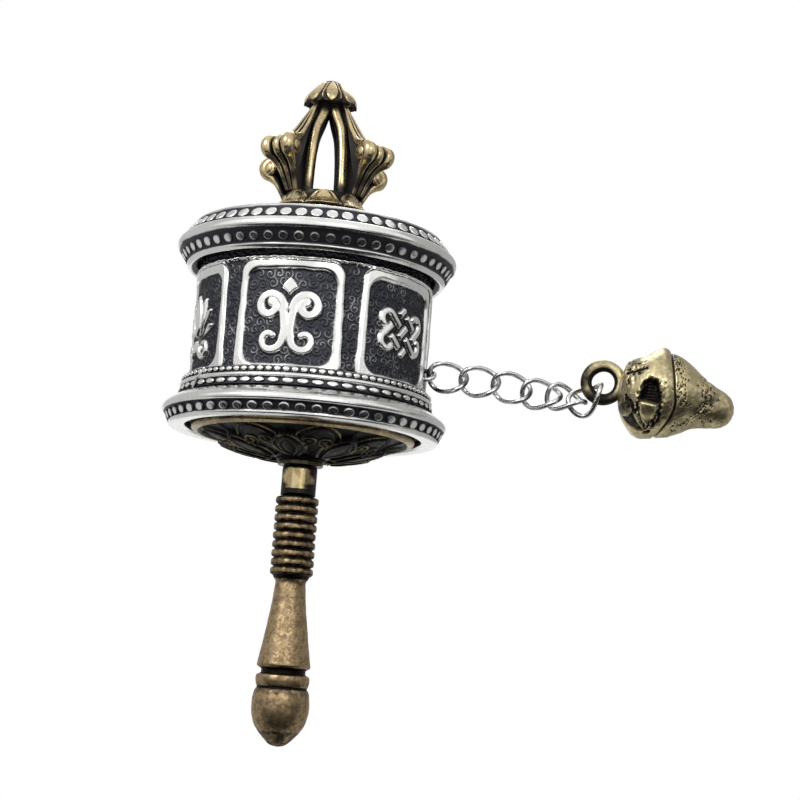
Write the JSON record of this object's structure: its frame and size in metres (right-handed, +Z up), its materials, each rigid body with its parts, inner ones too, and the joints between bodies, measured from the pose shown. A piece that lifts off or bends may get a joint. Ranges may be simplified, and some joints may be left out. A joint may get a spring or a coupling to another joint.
{
  "type": "prayer wheel",
  "caption": "Hand prayer wheel: a framed silver drum under a lipped lid turns on a brass handle, with a thunderbolt finial above and a chain that ends in a conch weight.",
  "frame": {"origin": "on the wheel's axis, at the middle of the tapered grip that the fingers hold", "axes": "+Z up along the handle and spindle to the finial, +X from the axis towards the chain and its weight at rest, -Y out of the front panel"},
  "size_m": [0.0605, 0.0302, 0.0721],
  "materials": {
    "silver": "polished silver with dark oxide in the recesses",
    "dark_silver": "grey polished silver wire",
    "brass": "antique brass with dark recesses",
    "bright_brass": "turned brass",
    "bronze": "dark antique bronze patina",
    "paper": "rolled paper"
  },
  "bodies": {
    "handle": {"handle_grip": "bronze", "spindle": "bright_brass", "lower_washer": "bright_brass", "top_washer": "bright_brass", "finial": "brass"},
    "drum": {"drum_shell": "silver", "foot_band": "silver", "base_flange": "silver", "base_plate": "bronze", "lower_bush": "bright_brass", "upper_bush": "bright_brass", "lid": "silver", "scroll_core": "bright_brass", "mantra_scroll": "paper", "chain_anchor": "dark_silver"},
    "link_1": {"chain_link_1": "dark_silver"},
    "link_2": {"chain_link_2": "dark_silver"},
    "link_3": {"chain_link_3": "dark_silver"},
    "link_4": {"chain_link_4": "dark_silver"},
    "link_5": {"chain_link_5": "dark_silver"},
    "link_6": {"chain_link_6": "dark_silver"},
    "weight": {"conch_weight": "brass"}
  },
  "joints": [
    {"name": "drum_spin", "type": "hinge", "parent": "handle", "child": "drum", "pos_m": [0, 0, 0.03], "axis": [0, 0, 1], "continuous": true},
    {"name": "chain_swing_1", "type": "hinge", "parent": "drum", "child": "link_1", "pos_m": [0.0133, 0, 0.0271], "axis": [0, 1, 0], "range_deg": [-22, 20]},
    {"name": "chain_swing_2", "type": "hinge", "parent": "link_1", "child": "link_2", "pos_m": [0.01672, 0, 0.02674], "axis": [0, 0, 1], "range_deg": [-35, 35]},
    {"name": "chain_swing_3", "type": "hinge", "parent": "link_2", "child": "link_3", "pos_m": [0.02016, 0, 0.02656], "axis": [0, 1, 0], "range_deg": [-38, 28]},
    {"name": "chain_swing_4", "type": "hinge", "parent": "link_3", "child": "link_4", "pos_m": [0.02349, 0, 0.02573], "axis": [0, 0, -1], "range_deg": [-45, 45]},
    {"name": "chain_swing_5", "type": "hinge", "parent": "link_4", "child": "link_5", "pos_m": [0.02673, 0, 0.0255], "axis": [0, 1, 0], "range_deg": [-30, 20]},
    {"name": "chain_swing_6", "type": "hinge", "parent": "link_5", "child": "link_6", "pos_m": [0.02933, 0, 0.02509], "axis": [0, 0, 1], "range_deg": [-18, 12]},
    {"name": "weight_swing", "type": "hinge", "parent": "link_6", "child": "weight", "pos_m": [0.03014, 0, 0.02592], "axis": [0, 1, 0], "range_deg": [-22, 16]}
  ]
}
